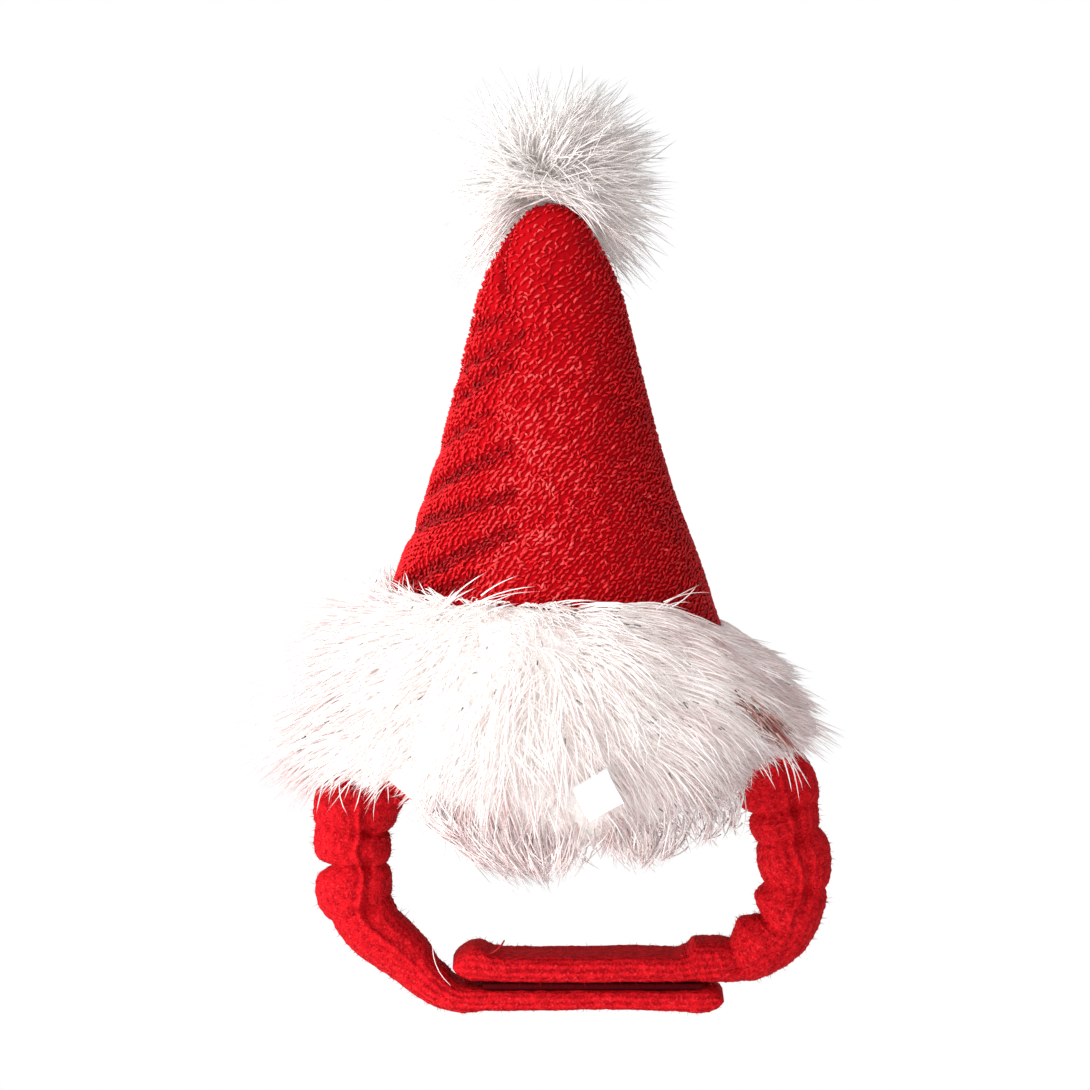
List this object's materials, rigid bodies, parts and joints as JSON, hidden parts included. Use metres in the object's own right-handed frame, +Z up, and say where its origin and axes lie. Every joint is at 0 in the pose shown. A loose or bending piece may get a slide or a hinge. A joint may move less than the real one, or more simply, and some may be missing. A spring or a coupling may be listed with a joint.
{
  "type": "pet santa hat",
  "caption": "Small knitted cone hat for a pet with a deep fur band, a fur pompom behind the tip and a gathered chin strap that fastens under the chin.",
  "frame": {"origin": "middle of the head opening, level with the lowest edge of the cone, where the head holds the hat", "axes": "+Z up from the opening to the tip, front of the hat towards -Y, +X to the right as seen from the front"},
  "size_m": [0.1597, 0.1426, 0.2614],
  "materials": {
    "red_knit": "soft looped knit",
    "white_fur": "long shiny pile",
    "red_strap": "brushed gathered knit",
    "hook_and_loop": "matt loop tape",
    "white_tape": "smooth woven tape"
  },
  "bodies": {
    "root": {"crown": "red_knit", "fur_trim": "white_fur", "pompom": "white_fur", "strap_left": "red_strap", "strap_right": "red_strap", "hook_and_loop_patch": "hook_and_loop", "label": "white_tape"}
  },
  "joints": []
}
